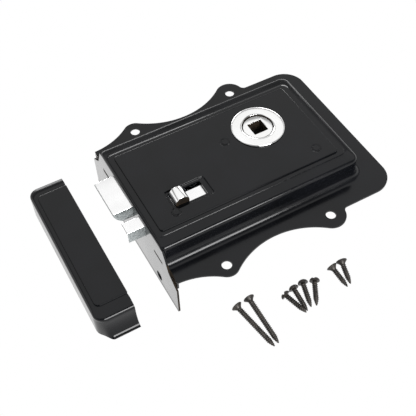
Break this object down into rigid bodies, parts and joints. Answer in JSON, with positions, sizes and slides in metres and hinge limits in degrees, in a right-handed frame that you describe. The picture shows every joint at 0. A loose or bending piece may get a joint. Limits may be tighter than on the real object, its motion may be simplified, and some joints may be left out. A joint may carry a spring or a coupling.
{
  "type": "rim latch",
  "caption": "Surface-mounted door latch in a pressed scroll-flanged case with a spindle follower, a sliding privacy bolt, a box keep and loose fixing screws.",
  "frame": {"origin": "the spindle axis where it meets the face of the door, in the plane of the flange's underside", "axes": "+Z out of the door's face, +X along the case away from the forend and the keep, +Y up the door with the latch bolt above the privacy bolt"},
  "size_m": [0.1728, 0.1589, 0.0438],
  "materials": {
    "black_paint": "satin black paint",
    "black_screws": "blackened steel",
    "bright_nickel": "bright nickel plate",
    "satin_nickel": "satin nickel plate over a die casting",
    "zinc_plate": "zinc plated steel",
    "spring_steel": "oiled spring steel"
  },
  "bodies": {
    "case": {"case_cover": "black_paint", "back_plate": "zinc_plate", "case_pillars": "black_paint", "back_plate_screws": "zinc_plate", "rose": "bright_nickel", "latch_guide": "zinc_plate", "guide_rivets": "zinc_plate", "latch_spring": "spring_steel", "snib_guide": "zinc_plate", "detent_post": "zinc_plate", "detent_spring": "spring_steel", "keep": "black_paint", "keep_screws": "black_screws", "case_screws": "black_screws", "lip_screws": "black_screws"},
    "follower": {"follower": "bright_nickel"},
    "latch": {"latch_head": "satin_nickel", "latch_tail": "zinc_plate", "tail_rivets": "zinc_plate", "guide_rod": "zinc_plate"},
    "snib": {"privacy_bolt": "satin_nickel", "snib_slide": "satin_nickel", "snib_rivets": "zinc_plate", "snib_button": "bright_nickel", "button_rivet": "zinc_plate"}
  },
  "joints": [
    {"name": "follower_turn", "type": "hinge", "parent": "case", "child": "follower", "pos_m": [0, 0, 0.005], "axis": [0, 0, 1], "range_deg": [0, 41.1]},
    {"name": "latch_slide", "type": "slide", "parent": "case", "child": "latch", "axis": [1, 0, 0], "range_m": [0, 0.011], "stiffness_N_per_m": 1200, "springref_m": -0.004, "deforming": ["latch_spring"]},
    {"name": "snib_slide_joint", "type": "slide", "parent": "case", "child": "snib", "axis": [1, 0, 0], "range_m": [0, 0.0096], "deforming": ["detent_spring"]}
  ],
  "couplings": [
    {"joint": "follower_turn", "follows": "latch_slide", "rad_per_m": 65.1}
  ]
}
